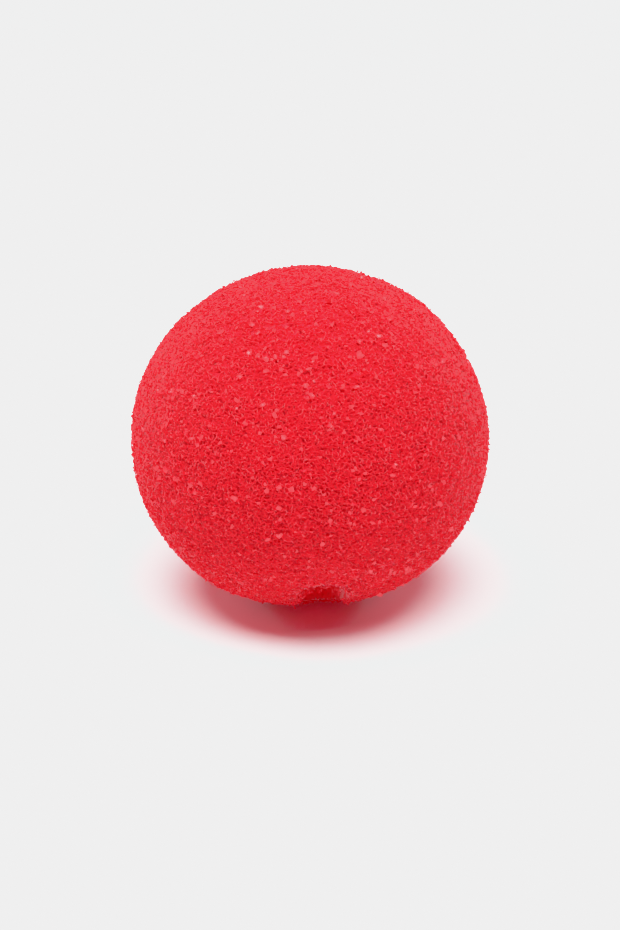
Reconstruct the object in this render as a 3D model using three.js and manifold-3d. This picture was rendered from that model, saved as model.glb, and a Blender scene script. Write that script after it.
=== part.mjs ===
// A foam clown nose: one ball of open-cell foam with an oval pocket that grips the wearer's nose.
// It lies on its underside, with the mouth of the pocket turned down and towards the front.
// Millimetres, +Z up, -Y to the front. The origin is on the surface, under the ball's centre.
import * as THREE from "three";
import { mergeVertices } from "three/addons/utils/BufferGeometryUtils.js";
import Module from "manifold-3d";

// Driving dimensions
const ballWidth = 50;
const ballHeight = 48.2; // before its foot is cut
const mouthTilt = 36.5; // degrees from straight down, towards the front
const mouthWidth = 5.8; // across the pocket, along X
const mouthLength = 13.4; // the pocket's long way, up the front of the ball
const pocketDepth = 20; // from the ball's full outline to the end of the pocket
const lipRound = 0.8; // how far the cut edge is rounded over
const sinkDepth = 0.95; // how far the foam is drawn in at the edge of the mouth
const sinkReach = 7; // how far from that edge the foam recovers its round form
const footDepth = 0.45; // how far up the underside the flat that the ball lies on is cut
const footMargin = 2; // how far the flat foot's cutter reaches past the ball

// How finely the round forms are faceted
const ringCount = 40;
const sideCount = 72;
const mouthSideCount = 36;
const ringCrowding = 1.35; // above 1, the rings crowd towards the mouth

// The pocket's sections from its mouth inwards. Deep is a share of pocketDepth, lip a share of lipRound,
// and close the share of half the mouth's width by which the section has closed in.
const pocketSections = [
  { deep: 0, lip: -2.5, close: -0.17 },
  { deep: 0, lip: 1.0, close: -0.15 },
  { deep: 0, lip: 1.6, close: -0.06 },
  { deep: 0, lip: 2.4, close: 0 },
  { deep: 0.84, lip: 0, close: 0 },
  { deep: 0.92, lip: 0, close: 0.13 },
  { deep: 0.97, lip: 0, close: 0.36 },
  { deep: 1.0, lip: 0, close: 0.7 },
];

const radius = ballWidth / 2;
const tilt = THREE.MathUtils.degToRad(mouthTilt);
// From the ball's centre to its full outline, along the pocket
const outlineReach = 1 / Math.hypot(Math.sin(tilt) / radius, (2 * Math.cos(tilt)) / ballHeight);

const wasm = await Module();
wasm.setup();

// A closed three.js geometry as a solid that can be cut.
function toSolid(geometry) {
  const bare = geometry.clone();
  bare.deleteAttribute("normal");
  bare.deleteAttribute("uv");
  const merged = mergeVertices(bare, 1e-4);
  return new wasm.Manifold(
    new wasm.Mesh({
      numProp: 3,
      vertProperties: new Float32Array(merged.attributes.position.array),
      triVerts: new Uint32Array(merged.index.array),
    }),
  );
}

// A solid as a three.js geometry with flat faces.
function toGeometry(solid) {
  const mesh = solid.getMesh();
  const geometry = new THREE.BufferGeometry();
  geometry.setAttribute("position", new THREE.BufferAttribute(mesh.vertProperties, 3));
  geometry.setIndex(new THREE.BufferAttribute(mesh.triVerts, 1));
  const flat = geometry.toNonIndexed();
  flat.computeVertexNormals();
  return flat;
}

// How far the foam is drawn in at (x, y) across the mouth's axis: most at the mouth's edge, none far from it.
function sinkAt(x, y) {
  const halfStraight = (mouthLength - mouthWidth) / 2;
  const beyondEnd = Math.max(Math.abs(y) - halfStraight, 0);
  const fromEdge = Math.max(Math.hypot(x, beyondEnd) - mouthWidth / 2, 0);
  return sinkDepth * Math.exp(-((fromEdge / sinkReach) ** 2));
}

// The ball, turned the way it lies about its own centre. It is made about the mouth's axis, so that
// its rings crowd there.
function ballForm() {
  const profile = [];
  for (let i = 0; i <= ringCount; i++) {
    const turn = Math.PI * (1 - (1 - i / ringCount) ** ringCrowding);
    const across = i === 0 || i === ringCount ? 0 : radius * Math.sin(turn);
    profile.push(new THREE.Vector2(across, -radius * Math.cos(turn)));
  }
  const ball = new THREE.LatheGeometry(profile, sideCount);
  ball.rotateX(-Math.PI / 2);
  const place = ball.attributes.position;
  const point = new THREE.Vector3();
  for (let i = 0; i < place.count; i++) {
    point.fromBufferAttribute(place, i);
    if (point.z < 0) point.multiplyScalar(1 - sinkAt(point.x, point.y) / point.length());
    place.setXYZ(i, point.x, point.y, point.z);
  }
  return ball.rotateX(-tilt).scale(1, 1, ballHeight / ballWidth);
}

// One section of the pocket: two straight sides joined by round ends.
function pocketOutline(close) {
  const endRadius = (mouthWidth / 2) * (1 - close);
  const halfStraight = (mouthLength - mouthWidth) / 2;
  const outline = [];
  for (let i = 0; i < mouthSideCount; i++) {
    const turn = (2 * Math.PI * (i + 0.5)) / mouthSideCount;
    const end = Math.sign(Math.sin(turn)) * halfStraight;
    outline.push(new THREE.Vector2(endRadius * Math.cos(turn), end + endRadius * Math.sin(turn)));
  }
  return outline;
}

// The space that the wearer's nose goes into, lofted through its sections along -Z and then turned.
function pocketForm() {
  const corners = [];
  for (const { deep, lip, close } of pocketSections) {
    const z = sinkDepth - outlineReach + deep * (pocketDepth - sinkDepth) + lip * lipRound;
    for (const { x, y } of pocketOutline(close)) corners.push(x, y, z);
  }
  const last = pocketSections.length - 1;
  const faces = [];
  for (let row = 0; row < last; row++) {
    for (let i = 0; i < mouthSideCount; i++) {
      const next = (i + 1) % mouthSideCount;
      const [a, b] = [row * mouthSideCount + i, row * mouthSideCount + next];
      const [c, d] = [a + mouthSideCount, b + mouthSideCount];
      faces.push(a, b, c, b, d, c);
    }
  }
  for (let i = 1; i < mouthSideCount - 1; i++) {
    faces.push(0, i + 1, i);
    const start = last * mouthSideCount;
    faces.push(start, start + i, start + i + 1);
  }
  const pocket = new THREE.BufferGeometry();
  pocket.setAttribute("position", new THREE.Float32BufferAttribute(corners, 3));
  pocket.setIndex(faces);
  return pocket.rotateX(-tilt);
}

// All that would lie under the surface.
function underSurface() {
  const side = ballWidth + 2 * footMargin;
  const block = new THREE.BoxGeometry(side, side, footDepth + footMargin);
  return block.translate(0, 0, -(footDepth + footMargin) / 2);
}

const ball = ballForm();
ball.computeBoundingBox();
const centreHeight = -ball.boundingBox.min.z - footDepth;
const foam = toSolid(ball.translate(0, 0, centreHeight))
  .subtract(toSolid(pocketForm().translate(0, 0, centreHeight)))
  .subtract(toSolid(underSurface()));

const redFoam = new THREE.MeshStandardMaterial({ color: 0xe62336, roughness: 0.9, metalness: 0 });

const noseBall = new THREE.Mesh(toGeometry(foam), redFoam);
noseBall.name = "nose_ball";

const clownNose = new THREE.Group();
clownNose.add(noseBall);

export default clownNose;
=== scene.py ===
import math

import bpy
import numpy as np
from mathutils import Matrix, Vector, noise


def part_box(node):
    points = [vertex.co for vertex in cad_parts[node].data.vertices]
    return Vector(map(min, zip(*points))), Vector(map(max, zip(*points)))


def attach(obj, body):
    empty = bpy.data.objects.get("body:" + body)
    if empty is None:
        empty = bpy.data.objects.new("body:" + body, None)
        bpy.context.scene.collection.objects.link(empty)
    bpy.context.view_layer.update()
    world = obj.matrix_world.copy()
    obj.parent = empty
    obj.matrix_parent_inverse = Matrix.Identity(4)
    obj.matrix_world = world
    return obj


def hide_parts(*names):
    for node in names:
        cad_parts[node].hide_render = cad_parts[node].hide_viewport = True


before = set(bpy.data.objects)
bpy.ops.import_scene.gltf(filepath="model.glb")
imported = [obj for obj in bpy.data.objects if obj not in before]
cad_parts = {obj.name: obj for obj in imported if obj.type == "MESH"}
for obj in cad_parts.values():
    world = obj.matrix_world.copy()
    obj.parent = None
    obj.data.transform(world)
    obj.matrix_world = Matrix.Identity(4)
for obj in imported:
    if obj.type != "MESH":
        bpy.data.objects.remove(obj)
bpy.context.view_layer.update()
bpy.ops.object.select_all(action="DESELECT")
print("frame loaded")

# A clown nose: a ball of dyed open-cell foam, with a pocket that grips the wearer's nose.
# Its skin is a pitted form with two nets of foam strands over it. Settings are in millimetres.
mm = 0.001

ballForm = {
    "height": 48.2,  # before the flat that it lies on
    "mouthTilt": 36.5,  # degrees from straight down, towards the front
    "mouthWidth": 5.8,
    "mouthLength": 13.4,
    "pocketDepth": 20,
    "sinkDepth": 0.95,  # how far the foam is drawn in at the mouth
    "sinkReach": 7,
    "rimShade": 0.18,  # painted shade round the mouth's rim, as extra depth in millimetres
    "rimShadeReach": 2.2,
    "rimShadeDepth": 1,
    "lumpHeight": 0.13,  # slow unevenness of hand-cut foam
    "lumpSize": 9,
}
boxLow, boxHigh = (np.array(corner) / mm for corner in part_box("nose_ball"))
radius = (boxHigh[0] - boxLow[0]) / 2
centreHeight = boxHigh[2] - ballForm["height"] / 2
tilt = math.radians(ballForm["mouthTilt"])
centre = np.array([0, 0, centreHeight])
outlineReach = 1 / math.hypot(math.sin(tilt) / radius, 2 * math.cos(tilt) / ballForm["height"])


# How far points lie outside the mouth's outline, below zero inside it, across the mouth's axis
def gapToMouth(x, y):
    halfStraight = (ballForm["mouthLength"] - ballForm["mouthWidth"]) / 2
    beyondEnd = np.maximum(np.abs(y) - halfStraight, 0)
    return np.hypot(x, beyondEnd) - ballForm["mouthWidth"] / 2


# Turns points from the way the ball lies to its pocket's own axis, with the mouth at -Z, or back
def turned(points, angle):
    c, s = math.cos(angle), math.sin(angle)
    x, y, z = points.T
    return np.stack([x, y * c - z * s, y * s + z * c], 1)


# How far outside the mouth's outline unit directions meet the skin, and how far down its length
def besideMouth(directions):
    across = turned(directions * radius, tilt)
    gap = gapToMouth(across[:, 0], across[:, 1])
    gap[across[:, 2] > 0] = 2 * radius
    return gap, across[:, 1]


# Which directions meet the skin just outside the upper half of the mouth's rim
def nearUpperRim(directions, reach):
    gap, down = besideMouth(directions)
    return (gap < reach) & (down < 0)


# How far the skin lies from the ball's centre along unit directions, before the ball is flattened
def skinReach(directions):
    gap = np.maximum(besideMouth(directions)[0], 0)
    sink = ballForm["sinkDepth"] * np.exp(-((gap / ballForm["sinkReach"]) ** 2))
    waves = radius / ballForm["lumpSize"]
    lumps = np.array([noise.noise(Vector(d) * waves) for d in directions])
    return radius - sink + ballForm["lumpHeight"] * lumps


# Points on the ball's skin, in millimetres, from unit directions and how far each stands proud of it
def onSkin(directions, proud):
    points = directions * (skinReach(directions) + proud)[:, None]
    points[:, 2] = points[:, 2] * ballForm["height"] / (2 * radius) + centreHeight
    return points


# Keeps with each of a piece's points how far, in millimetres, it lies under the nearest cut face of the
# foam; the materials paint shade by this depth. Just under the skin near the mouth's rim points count as a
# little deeper, which paints shade round the mouth.
def storeDepth(piece):
    points = readPoints(piece) / mm
    across = turned(points - centre, tilt)
    points[:, 2] = (points[:, 2] - centreHeight) * 2 * radius / ballForm["height"]
    fromCentre = np.linalg.norm(points, axis=1)
    outwards = points / fromCentre[:, None]
    underSkin = skinReach(outwards) - fromCentre
    besidePocket = np.maximum(gapToMouth(across[:, 0], across[:, 1]), 0)
    besidePocket = np.where(across[:, 2] < 0, besidePocket, underSkin)
    gap = np.maximum(besideMouth(outwards)[0], 0)
    # painted shade round the mouth's rim: points just under the skin there count as deeper
    paintedRimShade = ballForm["rimShade"] * np.exp(-((gap / ballForm["rimShadeReach"]) ** 2))
    paintedRimShade *= underSkin < ballForm["rimShadeDepth"]
    depth = piece.data.attributes.new("foamShadeDepth", "FLOAT", "POINT")
    depth.data.foreach_set("value", np.minimum(underSkin, besidePocket) + paintedRimShade)


# The mesh's points as rows of an array, and back
def readPoints(piece):
    flat = np.empty(len(piece.data.vertices) * 3)
    piece.data.vertices.foreach_get("co", flat)
    return flat.reshape(-1, 3)


def writePoints(piece, points):
    piece.data.vertices.foreach_set("co", points.astype(float).ravel())
    piece.data.update()


def readEdges(piece):
    flat = np.empty(len(piece.data.edges) * 2, dtype=int)
    piece.data.edges.foreach_get("vertices", flat)
    return flat.reshape(-1, 2)


def newPiece(name, points, edges=(), faces=()):
    mesh = bpy.data.meshes.new(name)
    mesh.from_pydata([tuple(p) for p in points], edges, faces)
    piece = bpy.data.objects.new(name, mesh)
    bpy.context.collection.objects.link(piece)
    return piece


# Adds one node to a tree, with its settings, the values of its sockets, and what feeds them
def addNode(tree, kind, settings=None, values=None, links=None):
    node = tree.nodes.new(kind)
    for name, value in (settings or {}).items():
        setattr(node, name, value)
    for name, value in (values or {}).items():
        node.inputs[name].default_value = value
    for name, source in (links or {}).items():
        tree.links.new(source, node.inputs[name])
    return node


def geometryTree(name):
    tree = bpy.data.node_groups.new(name, "GeometryNodeTree")
    for side in ("INPUT", "OUTPUT"):
        tree.interface.new_socket("Geometry", in_out=side, socket_type="NodeSocketGeometry")
    return tree, addNode(tree, "NodeGroupInput").outputs[0]


def makeOnly(piece):
    bpy.ops.object.select_all(action="DESELECT")
    piece.select_set(True)
    bpy.context.view_layer.objects.active = piece


def applyTree(piece, tree, last):
    addNode(tree, "NodeGroupOutput", links={0: last})
    modifier = piece.modifiers.new(tree.name, "NODES")
    modifier.node_group = tree
    makeOnly(piece)
    bpy.ops.object.modifier_apply(modifier=modifier.name)


# A ball of foam cells on the unit sphere: random points kept apart, wrapped tightly, and each turned
# into a cell. The points go on a taller form first, so that the cells come out flattened, as in risen foam.
def growCells(name, spacing, crowding, flatten, seed):
    bpy.ops.mesh.primitive_ico_sphere_add(subdivisions=6, radius=1, scale=(1, 1, flatten))
    piece = bpy.context.object
    piece.name = name
    makeOnly(piece)
    bpy.ops.object.transform_apply(location=False, rotation=False, scale=True)
    apart = spacing / radius
    tree, start = geometryTree("growCells")
    scatter = addNode(
        tree,
        "GeometryNodeDistributePointsOnFaces",
        {"distribute_method": "POISSON"},
        {"Distance Min": apart, "Density Max": crowding / apart**2, "Seed": seed},
        {"Mesh": start},
    )
    corners = addNode(tree, "GeometryNodePointsToVertices", links={0: scatter.outputs[0]})
    place = addNode(tree, "GeometryNodeInputPosition")
    flatter = addNode(
        tree,
        "ShaderNodeVectorMath",
        {"operation": "MULTIPLY"},
        {1: (1, 1, 1 / flatten)},
        {0: place.outputs[0]},
    )
    outwards = addNode(
        tree, "ShaderNodeVectorMath", {"operation": "NORMALIZE"}, links={0: flatter.outputs[0]}
    )
    onSphere = addNode(
        tree, "GeometryNodeSetPosition", links={0: corners.outputs[0], "Position": outwards.outputs[0]}
    )
    wrapped = addNode(tree, "GeometryNodeConvexHull", links={0: onSphere.outputs[0]})
    cells = addNode(tree, "GeometryNodeDualMesh", links={0: wrapped.outputs[0]})
    applyTree(piece, tree, cells.outputs[0])
    return piece


def unitDirections(piece):
    points = readPoints(piece)
    return points / np.linalg.norm(points, axis=1, keepdims=True)


# Camera. The photograph looks down on the ball a little, with the mouth just right of its middle.
photoView = {
    "azimuth": -6,
    "elevation": 25,
    "distance": 450,
    "lens": 124,
    "aimBelow": 3.7,  # how far under the ball's centre the camera aims, up the picture
}
azimuth, elevation = (math.radians(photoView[k]) for k in ("azimuth", "elevation"))
backwards = Vector((
    math.sin(azimuth) * math.cos(elevation),
    -math.cos(azimuth) * math.cos(elevation),
    math.sin(elevation),
))
turnToView = backwards.to_track_quat("Z", "Y")
aim = Vector((0, 0, centreHeight)) - turnToView @ Vector((0, photoView["aimBelow"], 0))
bpy.ops.object.camera_add(location=(aim + backwards * photoView["distance"]) * mm)
photoCamera = bpy.context.object
photoCamera.rotation_euler = turnToView.to_euler()
photoCamera.data.lens = photoView["lens"]
photoCamera.data.clip_start = 0.01
bpy.context.scene.camera = photoCamera
print("camera placed")

# The pitted skin
skinCells = {
    "spacing": 0.52,
    "crowding": 2,
    "flatten": 1.3,
    "seed": 4,
    "under": 0.3,  # how far its ridges lie under the ball's outline
    "ridgeUneven": 0.14,
    "pitDepth": 0.42,
    "pitUneven": 0.5,  # share of the pit's depth
    "tornReach": 1.9,  # how far above the mouth the skin is torn into deeper holes
    "tornShare": 0.5,
    "tornDepth": 0.8,
    "floorGap": 0.12,
}
rng = np.random.default_rng(21)
foamBall = growCells("foam_ball", *(skinCells[k] for k in ("spacing", "crowding", "flatten", "seed")))
directions = unitDirections(foamBall)
uneven = rng.uniform(-1, 1, len(directions)) * skinCells["ridgeUneven"]
writePoints(foamBall, onSkin(directions, uneven - skinCells["under"]))
makeOnly(foamBall)
bpy.ops.object.mode_set(mode="EDIT")
bpy.ops.mesh.select_all(action="SELECT")
bpy.ops.mesh.normals_make_consistent(inside=False)
bpy.ops.mesh.poke(offset=0)
bpy.ops.object.mode_set(mode="OBJECT")
points = readPoints(foamBall)
pits = points[len(directions):]
inwards = centre - pits
inwards /= np.linalg.norm(inwards, axis=1, keepdims=True)
depth = skinCells["pitDepth"] * (1 + skinCells["pitUneven"] * rng.uniform(-1, 1, len(pits)))
torn = nearUpperRim(-inwards, skinCells["tornReach"]) & (rng.random(len(pits)) < skinCells["tornShare"])
depth[torn] += skinCells["tornDepth"]
points[len(directions):] = pits + inwards * depth[:, None]
points[:, 2] = np.maximum(points[:, 2], skinCells["floorGap"])
writePoints(foamBall, points * mm)
print("skin:", len(directions), "corners,", len(pits), "cells")

# The pocket, cut with a form whose own skin is pitted the other way
pocketCells = {
    "around": 46,
    "rowStep": 0.62,
    "uneven": 0.17,
    "grow": 0.3,
    "pit": 0.3,
    "above": 2.6,  # how far the cutter reaches out of the mouth
    "endReach": 2.4,  # the stretch over which the pocket closes in at its end
    "endClose": 0.75,
    "lipReach": 1.6,  # the stretch over which its mouth flares
    "lipFlare": 0.1,
}


# A closed tube of points round the pocket, from above its mouth to its end, in the ball's own place
def pocketShape(grow, uneven):
    count, step = pocketCells["around"], pocketCells["rowStep"]
    halfWidth = ballForm["mouthWidth"] / 2 + grow
    halfStraight = (ballForm["mouthLength"] - ballForm["mouthWidth"]) / 2
    straight, bend = 2 * halfStraight, math.pi * halfWidth
    mouthLevel = ballForm["sinkDepth"] - outlineReach
    endLevel = ballForm["pocketDepth"] - outlineReach + grow
    start = mouthLevel - pocketCells["above"]
    rows = int((endLevel - start) / step)
    points = []
    for row in range(rows + 1):
        z = start + row * step
        intoEnd = (z - endLevel + pocketCells["endReach"]) / pocketCells["endReach"]
        closing = max(0, intoEnd) ** 2 * pocketCells["endClose"]
        lip = max(0, 1 - (z - mouthLevel) / pocketCells["lipReach"]) * pocketCells["lipFlare"]
        for i in range(count):
            around = (i + 0.5 * (row % 2) + rng.uniform(-1, 1) * uneven / step) / count
            along = (around % 1) * 2 * (straight + bend)
            side, along = divmod(along, straight + bend)
            if along < straight:
                x, y = halfWidth, along - halfStraight
            else:
                turn = (along - straight) / halfWidth
                x, y = halfWidth * math.cos(turn), halfStraight + halfWidth * math.sin(turn)
            if side:
                x, y = -x, -y
            narrow = 1 - closing + lip
            shorter = 1 - closing * 0.5 + lip * 0.5
            points.append((x * narrow, y * shorter, z + rng.uniform(-1, 1) * uneven))
    faces = []
    for row in range(rows):
        for i in range(count):
            a, b = row * count + i, row * count + (i + 1) % count
            c, d = a + count, b + count
            if row % 2:
                faces += [(a, b, d), (a, d, c)]
            else:
                faces += [(a, b, c), (b, d, c)]
    for row, turnRound in ((0, True), (rows, False)):
        ring = [row * count + i for i in range(count)]
        middle = len(points)
        points.append((0, 0, points[ring[0]][2]))
        for i in range(count):
            a, b = ring[i], ring[(i + 1) % count]
            faces.append((b, a, middle) if turnRound else (a, b, middle))
    return turned(np.array(points), -tilt) + centre, faces


def dualOf(piece):
    tree, start = geometryTree("cellsFromCorners")
    cells = addNode(tree, "GeometryNodeDualMesh", links={0: start})
    applyTree(piece, tree, cells.outputs[0])


cutterPoints, cutterFaces = pocketShape(pocketCells["grow"], pocketCells["uneven"])
pocketCutter = newPiece("pocketCutter", cutterPoints, faces=cutterFaces)
dualOf(pocketCutter)
bpy.ops.object.mode_set(mode="EDIT")
bpy.ops.mesh.select_all(action="SELECT")
bpy.ops.mesh.normals_make_consistent(inside=False)
bpy.ops.mesh.poke(offset=pocketCells["pit"])
bpy.ops.object.mode_set(mode="OBJECT")
writePoints(pocketCutter, readPoints(pocketCutter) * mm)
cut = foamBall.modifiers.new("pocket", "BOOLEAN")
cut.operation, cut.solver, cut.object = "DIFFERENCE", "MANIFOLD", pocketCutter
makeOnly(foamBall)
bpy.ops.object.modifier_apply(modifier=cut.name)
bpy.data.objects.remove(pocketCutter)
bpy.ops.object.shade_smooth()
storeDepth(foamBall)
print("pocket cut:", len(foamBall.data.polygons), "faces")

# The nets of strands: an open one on the skin and a second one under it, joined by short posts
outerNet = {
    "spacing": 0.42,
    "crowding": 1.3,
    "flatten": 1.5,
    "seed": 9,
    "strandRadius": 0.078,
    "thinnest": 0.65,  # shares of that radius
    "thickest": 1.35,
    "under": 0.06,
    "uneven": 0.2,
    "astray": 0.08,  # how far its corners wander sideways
    "missing": 0.42,  # share of the strands that are torn away
    "posts": 0.3,  # share of the corners that have a post down into the foam
    "postDepth": 0.4,
    "tufts": 0.05,  # share of the corners that stand proud
    "tuftHeight": 0.3,
    "rimReach": 1.3,  # how far round the mouth its cut rim is frayed
    "rimTufts": 0.35,
    "rimTuftHeight": 0.5,
    "rimClear": 0.3,  # how far back from the mouth the strands end at its sides
    "upperRimClear": -0.15,  # below zero they hang over it
    "lowRimClear": 1.3,
    "tornReach": 1.9,
    "tornShare": 0.5,
    "floorGap": 0.09,
}
innerNet = {
    "spacing": 0.5,
    "crowding": 1.3,
    "flatten": 1.4,
    "seed": 31,
    "strandRadius": 0.085,
    "thinnest": 0.65,
    "thickest": 1.35,
    "under": 0.25,
    "uneven": 0.16,
    "astray": 0.08,
    "missing": 0.3,
    "posts": 0,
    "postDepth": 0,
    "tufts": 0,
    "tuftHeight": 0,
    "rimReach": 0.8,
    "rimTufts": 0.3,
    "rimTuftHeight": 0.4,
    "rimClear": 0.2,
    "upperRimClear": 0,
    "lowRimClear": 1.3,
    "tornReach": 1.5,
    "tornShare": 0.4,
    "floorGap": 0.1,
}


# Turns a mesh of edges into three-sided closed strands, some thicker than others
def thicken(piece, look):
    tree, start = geometryTree("strands")
    lines = addNode(tree, "GeometryNodeMeshToCurve", links={0: start})
    width = addNode(
        tree,
        "FunctionNodeRandomValue",
        {"data_type": "FLOAT"},
        {2: look["thinnest"], 3: look["thickest"], "Seed": look["seed"]},
    )
    profile = addNode(
        tree,
        "GeometryNodeCurvePrimitiveCircle",
        values={"Resolution": 3, "Radius": look["strandRadius"] * mm},
    )
    strands = addNode(
        tree,
        "GeometryNodeCurveToMesh",
        values={"Fill Caps": True},
        links={0: lines.outputs[0], 1: profile.outputs[0], "Scale": width.outputs[1]},
    )
    applyTree(piece, tree, strands.outputs[0])


# A net's corners and the pairs of them that its strands join, without what would hang across the mouth
def spinNet(look):
    netBall = growCells("netBall", *(look[k] for k in ("spacing", "crowding", "flatten", "seed")))
    directions = unitDirections(netBall)
    directions += rng.normal(0, look["astray"] / radius, directions.shape)
    directions /= np.linalg.norm(directions, axis=1, keepdims=True)
    edges = readEdges(netBall)
    cells = [list(cell.vertices) for cell in netBall.data.polygons]
    proud = rng.uniform(-1, 1, len(directions)) * look["uneven"] - look["under"]
    gap, down = besideMouth(directions)
    end = (ballForm["mouthLength"] - ballForm["mouthWidth"]) / 2
    clear = [look[k] for k in ("upperRimClear", "rimClear", "lowRimClear")]
    inMouth = gap < np.interp(down, (-end, 0, end), clear)
    for near, share, height in (
        (gap > 0, look["tufts"], look["tuftHeight"]),
        (gap < look["rimReach"], look["rimTufts"], look["rimTuftHeight"]),
    ):
        tufts = near & (rng.random(len(directions)) < share)
        proud[tufts] += rng.uniform(0.4, 1, tufts.sum()) * height
    corners = onSkin(directions, proud)
    print("net of", len(cells), "cells")
    bpy.data.objects.remove(netBall)
    edges = edges[rng.random(len(edges)) > look["missing"]]
    torn = nearUpperRim(directions, look["tornReach"]) & (rng.random(len(directions)) < look["tornShare"])
    edges = edges[~(inMouth | torn)[edges].any(1)]
    posts = np.flatnonzero((rng.random(len(corners)) < look["posts"]) & ~inMouth)
    feet = onSkin(directions[posts], proud[posts] - look["postDepth"])
    feet += rng.normal(0, look["uneven"], feet.shape)
    postEdges = np.stack([posts, len(corners) + np.arange(len(posts))], 1)
    corners = np.concatenate([corners, feet])
    corners[:, 2] = np.maximum(corners[:, 2], look["floorGap"])
    cells = [cell for cell in cells if not inMouth[cell].any()]
    return corners, np.concatenate([edges, postEdges]), cells


# The cell windows: here and there the thin film across a cell is whole, and shines. They are set more
# thickly towards the top, so that their painted highlights gather where the light falls from above
windowLook = {
    "topShare": 0.1,  # of the cells at the top of the ball
    "lowShare": 0.02,  # and at its underside
    "mouthClear": 3.5,  # there are none this near the mouth
    "smallest": 0.4,  # as shares of the cell
    "largest": 1,
    "lean": 0.35,
    "sunk": 0.12,
    "bulge": 0.04,
    "thickness": 0.03,
    "smoothAngle": 40,  # degrees
}


def makeWindows(name, corners, cells):
    points, faces = [], []
    for cell in cells:
        ring = corners[cell]
        middle = ring.mean(0)
        shares = (windowLook["lowShare"], windowLook["topShare"])
        if rng.random() > np.interp(middle[2], (0, 2 * centreHeight), shares):
            continue
        out = (middle - centre) / np.linalg.norm(middle - centre)
        if besideMouth(out[None])[0][0] < windowLook["mouthClear"]:
            continue
        reach = (ring - middle) * rng.uniform(windowLook["smallest"], windowLook["largest"])
        middle = middle - out * rng.uniform(0, windowLook["sunk"])
        lean = reach @ rng.normal(0, windowLook["lean"], 3)
        front = middle + reach + lean[:, None] * out
        back = front - out * windowLook["thickness"]
        first, count = len(points), len(cell)
        crown = middle + out * windowLook["bulge"]
        points += [*front, *back, crown, crown - out * windowLook["thickness"]]
        for i in range(count):
            a, b = first + i, first + (i + 1) % count
            faces += [(a, b, first + 2 * count), (b + count, a + count, first + 2 * count + 1)]
            faces.append((a, a + count, b + count, b))
    points = np.array(points)
    points[:, 2] = np.maximum(points[:, 2], outerNet["floorGap"])
    piece = newPiece(name, points * mm, faces=faces)
    makeOnly(piece)
    bpy.ops.object.mode_set(mode="EDIT")
    bpy.ops.mesh.select_all(action="SELECT")
    bpy.ops.mesh.normals_make_consistent(inside=False)
    bpy.ops.object.mode_set(mode="OBJECT")
    bpy.ops.object.shade_smooth_by_angle(angle=math.radians(windowLook["smoothAngle"]))
    print(name, len(piece.data.polygons), "faces")
    return piece


# Each net comes in bands of equal size from the top down, so that no piece grows too heavy
netPieces = []
for net, look, bands in (
    ("outer", outerNet, ("upper", "middle", "lower")),
    ("inner", innerNet, ("upper", "lower")),
):
    corners, edges, cells = spinNet(look)
    if net == "outer":
        cellWindows = makeWindows("cell_windows", corners, cells)
    fromTop = np.argsort(-corners[edges][:, :, 2].mean(1))
    for band, part in zip(bands, np.array_split(fromTop, len(bands))):
        strands = [tuple(edge) for edge in edges[part]]
        piece = newPiece("foam_strands_" + net + "_" + band, corners * mm, edges=strands)
        thicken(piece, look)
        storeDepth(piece)
        netPieces.append(piece)
        print(piece.name, len(piece.data.polygons), "faces")


# Colours are sRGB hex, turned to linear here
def linear(code):
    channels = [int(code[i:i + 2], 16) / 255 for i in (1, 3, 5)]
    return [c / 12.92 if c <= 0.04045 else ((c + 0.055) / 1.055) ** 2.4 for c in channels] + [1]


def newMaterial(name):
    material = bpy.data.materials.new(name)
    material.use_nodes = True
    return material, material.node_tree, material.node_tree.nodes["Principled BSDF"]


def setSockets(shader, values):
    for name, value in values.items():
        shader.inputs[name].default_value = value


# Painted shade by depth: a colour from the lit skin to the dark depths, by how deep a point lies in the
# foam, with a little patchy tone
def foamShadeAndTone(tree, look):
    foamShadeDepth = addNode(tree, "ShaderNodeAttribute", {"attribute_name": "foamShadeDepth"})
    depth = addNode(
        tree,
        "ShaderNodeMapRange",
        values={"From Min": look["litDepth"], "From Max": look["darkDepth"]},
        links={"Value": foamShadeDepth.outputs["Fac"]},
    )
    place = addNode(tree, "ShaderNodeTexCoord")
    patches = addNode(
        tree,
        "ShaderNodeTexNoise",
        values={"Scale": 1 / (look["patchSize"] * mm), "Detail": 3, "Roughness": 0.6},
        links={"Vector": place.outputs["Object"]},
    )
    uneven = addNode(
        tree,
        "ShaderNodeMath",
        {"operation": "MULTIPLY_ADD"},
        {1: look["patchiness"], 2: -look["patchiness"] / 2},
        {0: patches.outputs[0]},
    )
    total = addNode(tree, "ShaderNodeMath", links={0: depth.outputs[0], 1: uneven.outputs[0]})
    tone = addNode(tree, "ShaderNodeValToRGB", links={"Fac": total.outputs[0]})
    tone.color_ramp.elements[0].color = linear(look["lit"])
    tone.color_ramp.elements[1].color = linear(look["deep"])
    return tone


# Fine unevenness of a surface: its grain varies how sharply it shines and which way it faces
def addGrain(tree, shader, look):
    place = addNode(tree, "ShaderNodeTexCoord")
    grain = addNode(
        tree,
        "ShaderNodeTexNoise",
        values={"Scale": 1 / (look["grainSize"] * mm), "Detail": 2},
        links={"Vector": place.outputs["Object"]},
    )
    shine = addNode(
        tree,
        "ShaderNodeMapRange",
        values={"From Min": 0.3, "From Max": 0.7, "To Min": look["smooth"], "To Max": look["rough"]},
        links={"Value": grain.outputs[0]},
    )
    relief = addNode(
        tree,
        "ShaderNodeBump",
        values={"Distance": look["grainHeight"] * mm},
        links={"Height": grain.outputs[0]},
    )
    tree.links.new(shine.outputs[0], shader.inputs["Roughness"])
    tree.links.new(relief.outputs[0], shader.inputs["Normal"])
    return grain
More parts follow.
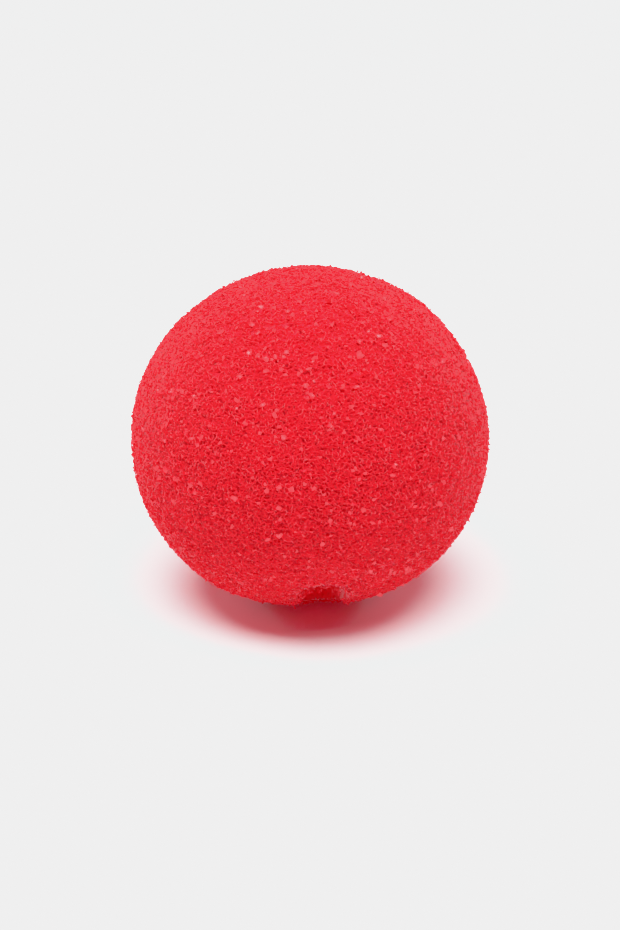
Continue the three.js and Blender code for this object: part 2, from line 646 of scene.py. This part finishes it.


# Open-cell polyurethane foam, dyed through: matte, and a little light goes into it before it comes out red.
# Its pits get painted shade: the deeper a point, the closer its colour to the dark one
foamLook = {
    "lit": "#f40e18",
    # the colour of painted shade in the deepest pits
    "deep": "#98060e",
    "litDepth": 0.3,
    "darkDepth": 0.85,
    "patchSize": 1.2,
    "patchiness": 0.5,
    "scatter": 8,
    "grainSize": 0.14,
    "grainHeight": 0.03,
    "smooth": 0.7,
    "rough": 0.95,
}
dyedFoam, tree, shader = newMaterial("dyed_polyurethane_foam")
tree.links.new(foamShadeAndTone(tree, foamLook).outputs[0], shader.inputs["Base Color"])
addGrain(tree, shader, foamLook)
setSockets(shader, {
    "IOR": 1.5,
    "Specular IOR Level": 0.05,
    "Sheen Weight": 0.3,
    "Sheen Roughness": 0.4,
    "Subsurface Weight": 0.35,
    "Subsurface Radius": (1, 0.12, 0.12),
    "Subsurface Scale": foamLook["scatter"] * mm,
})
foamBall.data.materials.clear()
foamBall.data.materials.append(dyedFoam)

# A single foam strand: smooth cut polymer that stands proud, so it looks brighter than the depths between;
# strands that lie deeper also get painted shade, a darker colour
strandLook = {
    "lit": "#fb0e18",
    # the colour of painted shade on the deepest strands
    "deep": "#c80810",
    "litDepth": 0.05,
    "darkDepth": 0.55,
    "patchSize": 0.5,
    "patchiness": 0.9,
    "scatter": 0.5,
    "grainSize": 0.1,
    "grainHeight": 0.015,
    "smooth": 0.35,
    "rough": 0.6,
}
foamStrand, tree, shader = newMaterial("foam_strand")
tree.links.new(foamShadeAndTone(tree, strandLook).outputs[0], shader.inputs["Base Color"])
addGrain(tree, shader, strandLook)
setSockets(shader, {
    "Specular IOR Level": 0.05,
    "Sheen Weight": 0.11,
    "Sheen Roughness": 0.4,
    "Subsurface Weight": 0.25,
    "Subsurface Radius": (1, 0.12, 0.12),
    "Subsurface Scale": strandLook["scatter"] * mm,
})
for net in netPieces:
    net.data.materials.append(foamStrand)

# A whole cell window is a film of the same foam polymer, smooth enough to flash in the light; its lighter
# pink colour, patchy along the grain, is a painted highlight on top of that real shine
filmLook = {
    "dull": "#ff1420",
    # the painted highlight colour of the films
    "bright": "#ff565a",
    "dullEnd": 0.42,  # where along the grain the two colours begin
    "brightEnd": 0.78,
    "grainSize": 0.9,
    "grainHeight": 0.04,
    "smooth": 0.3,
    "rough": 0.5,
}
cellFilm, tree, shader = newMaterial("foam_cell_film")
grain = addGrain(tree, shader, filmLook)
tone = addNode(tree, "ShaderNodeValToRGB", links={"Fac": grain.outputs[0]})
tone.color_ramp.elements[0].color = linear(filmLook["dull"])
tone.color_ramp.elements[0].position = filmLook["dullEnd"]
tone.color_ramp.elements[1].color = linear(filmLook["bright"])
tone.color_ramp.elements[1].position = filmLook["brightEnd"]
tree.links.new(tone.outputs[0], shader.inputs["Base Color"])
setSockets(shader, {"Specular IOR Level": 0.5})
cellWindows.data.materials.append(cellFilm)

# Every piece goes with the one body, and all of them stand for the CAD ball
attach(foamBall, "root")
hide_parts("nose_ball")
for piece in (*netPieces, cellWindows):
    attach(piece, "root")
print("pieces dressed")

# Studio: a white surface under one large soft box, bright enough to wash the surface out, with a weaker
# panel behind on either side
studio = {
    "floorSize": 1500,
    "boxWidth": 2500,
    "boxLength": 1500,
    "boxTurn": -20,  # degrees, seen from above
    "boxPlace": (-130, -450, 1860),
    "boxPower": 190,  # watts
    "sidePlace": (1300, 1200, 800),  # of the panels behind
    "sideWidth": 1500,
    "sideHeight": 900,
    "sidePower": 26,
    "surround": "#b5c2ff",
    "surroundLevel": 0.09,
    "backdropLevel": 3.5,
    "filmRange": 4,  # the brightest that the film tells apart, where plain white is 1
    "redFilm": ((0.02, 0.25), (0.06, 0.28), (0.1, 0.3), (0.2, 0.34), (0.3, 0.39), (0.5, 0.475),
                (0.75, 0.54), (1, 0.605), (1.3, 0.71), (1.6, 0.78), (1.8, 0.81), (2, 0.836),
                (2.3, 0.868), (2.6, 0.894), (2.9, 0.9), (3.2, 0.867), (4, 0.864)),
    "greenFilm": ((0.016, 0.017), (0.031, 0.029), (0.047, 0.049), (0.063, 0.067), (0.1, 0.079),
                  (0.2, 0.096), (0.3, 0.121), (0.5, 0.215), (0.75, 0.345), (1, 0.455), (1.3, 0.585),
                  (1.6, 0.69), (2, 0.785), (2.4, 0.838), (2.8, 0.86), (3.1, 0.863), (4, 0.863)),
    "blueFilm": ((0.016, 0.023), (0.031, 0.034), (0.047, 0.053), (0.063, 0.075), (0.1, 0.094), (0.2, 0.114),
                 (0.3, 0.138), (0.5, 0.232), (0.75, 0.358), (1, 0.47), (1.3, 0.6), (1.6, 0.7), (2, 0.793),
                 (2.4, 0.842), (2.8, 0.861), (3.1, 0.863), (4, 0.863)),
}
bpy.ops.mesh.primitive_plane_add(size=studio["floorSize"] * mm)
studioFloor = bpy.context.object
studioFloor.name = "studio_floor"
paper, tree, shader = newMaterial("white_paper")
setSockets(shader, {"Base Color": linear("#fafafa"), "Roughness": 0.9})
studioFloor.data.materials.append(paper)

bpy.ops.object.light_add(type="AREA", location=[v * mm for v in studio["boxPlace"]])
softBox = bpy.context.object
softBox.rotation_euler[2] = math.radians(studio["boxTurn"])
softBox.data.shape = "ELLIPSE"
softBox.data.size = studio["boxWidth"] * mm
softBox.data.size_y = studio["boxLength"] * mm
softBox.data.energy = studio["boxPower"]

for side in (-1, 1):
    place = Vector(studio["sidePlace"]) * Vector((side, 1, 1))
    bpy.ops.object.light_add(type="AREA", location=place * mm)
    panel = bpy.context.object
    panel.rotation_euler = place.to_track_quat("Z", "Y").to_euler()
    panel.data.shape = "RECTANGLE"
    panel.data.size = studio["sideWidth"] * mm
    panel.data.size_y = studio["sideHeight"] * mm
    panel.data.energy = studio["sidePower"]
    panel.visible_camera = False

world = bpy.data.worlds.new("studio")
bpy.context.scene.world = world
world.use_nodes = True
tree = world.node_tree
rays = addNode(tree, "ShaderNodeLightPath")
level = addNode(
    tree,
    "ShaderNodeMix",
    values={2: studio["surroundLevel"], 3: studio["backdropLevel"]},
    links={0: rays.outputs["Is Camera Ray"]},
)
tint = addNode(
    tree,
    "ShaderNodeMix",
    {"data_type": "RGBA"},
    {6: linear(studio["surround"]), 7: linear("#ffffff")},
    {0: rays.outputs["Is Camera Ray"]},
)
tree.links.new(level.outputs[0], tree.nodes["Background"].inputs["Strength"])
tree.links.new(tint.outputs[2], tree.nodes["Background"].inputs["Color"])

# Light goes to and fro many times between the pale floor and the red foam
bounces = bpy.context.scene.cycles
bounces.diffuse_bounces = 20
bounces.max_bounces = 32

# The film holds back the brightest light, so the washed-out floor prints as an even pale grey, and it
# prints dim red light more strongly than the rest
colours = bpy.context.scene.view_settings
colours.view_transform = "Standard"
colours.look = "None"
colours.use_curve_mapping = True
curves = colours.curve_mapping
curves.white_level = [studio["filmRange"]] * 3
curves.extend = "HORIZONTAL"
for curve, name in zip(curves.curves, ("redFilm", "greenFilm", "blueFilm")):
    film = studio[name]
    for light, printed in film[:-1]:
        curve.points.new(light / studio["filmRange"], printed)
    curve.points[-1].location = (1, film[-1][1])
curves.update()
print("studio lit")
